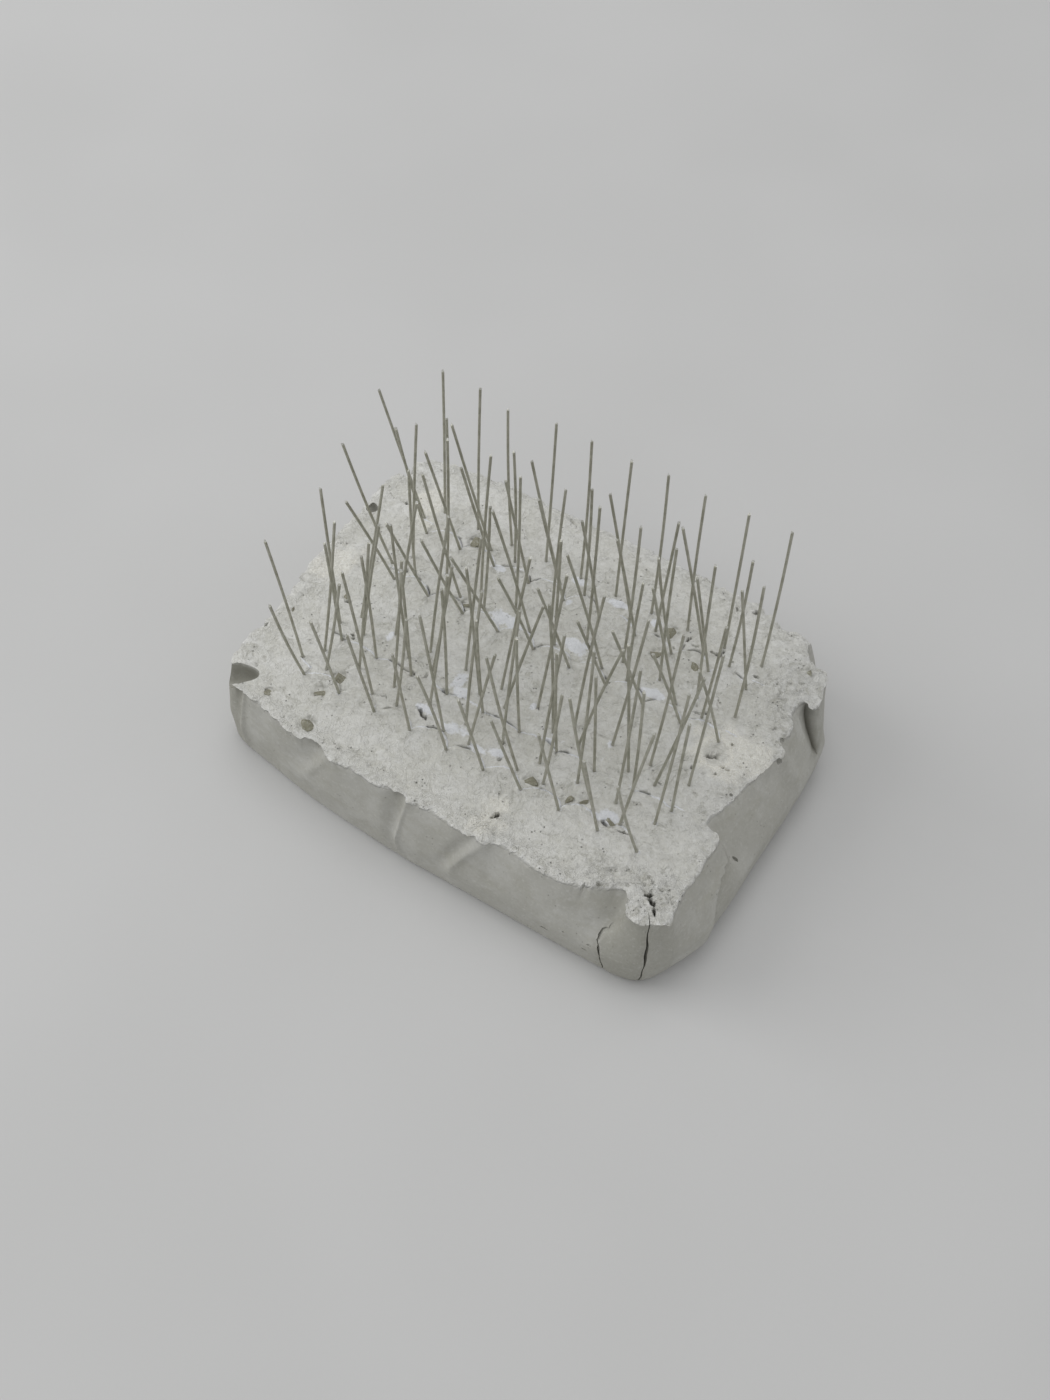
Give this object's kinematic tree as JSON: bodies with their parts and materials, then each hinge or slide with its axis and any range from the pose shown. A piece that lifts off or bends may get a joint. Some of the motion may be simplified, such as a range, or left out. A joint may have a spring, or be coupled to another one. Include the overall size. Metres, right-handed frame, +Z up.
{
  "type": "flower frog",
  "caption": "Rectangular cast cement block with parallel rows of thin upright wire pins, leaning apart, that grip flower stems pushed in between them.",
  "frame": {"origin": "centre of the block's flat underside", "axes": "+X along the block's long side, parallel to the strips of pins; +Z up, the way the pins point"},
  "size_m": [0.19, 0.142, 0.0979],
  "materials": {
    "cement": "matt cast cement mortar, smooth on the sides and rough on top",
    "gravel": "matt crushed stone",
    "carrier_plastic": "satin moulded plastic",
    "pin_wire": "drawn spring-steel wire, dull, with bright cut ends"
  },
  "bodies": {
    "root": {"cast_block": "cement", "surface_gravel": "gravel", "carrier_strip_1": "carrier_plastic", "carrier_strip_2": "carrier_plastic", "carrier_strip_3": "carrier_plastic", "carrier_strip_4": "carrier_plastic", "front_pins_1": "pin_wire", "front_pins_2": "pin_wire", "front_pins_3": "pin_wire", "front_pins_4": "pin_wire", "middle_pins_1": "pin_wire", "middle_pins_2": "pin_wire", "middle_pins_3": "pin_wire", "middle_pins_4": "pin_wire", "back_pins_1": "pin_wire", "back_pins_2": "pin_wire", "back_pins_3": "pin_wire", "back_pins_4": "pin_wire"}
  },
  "joints": []
}
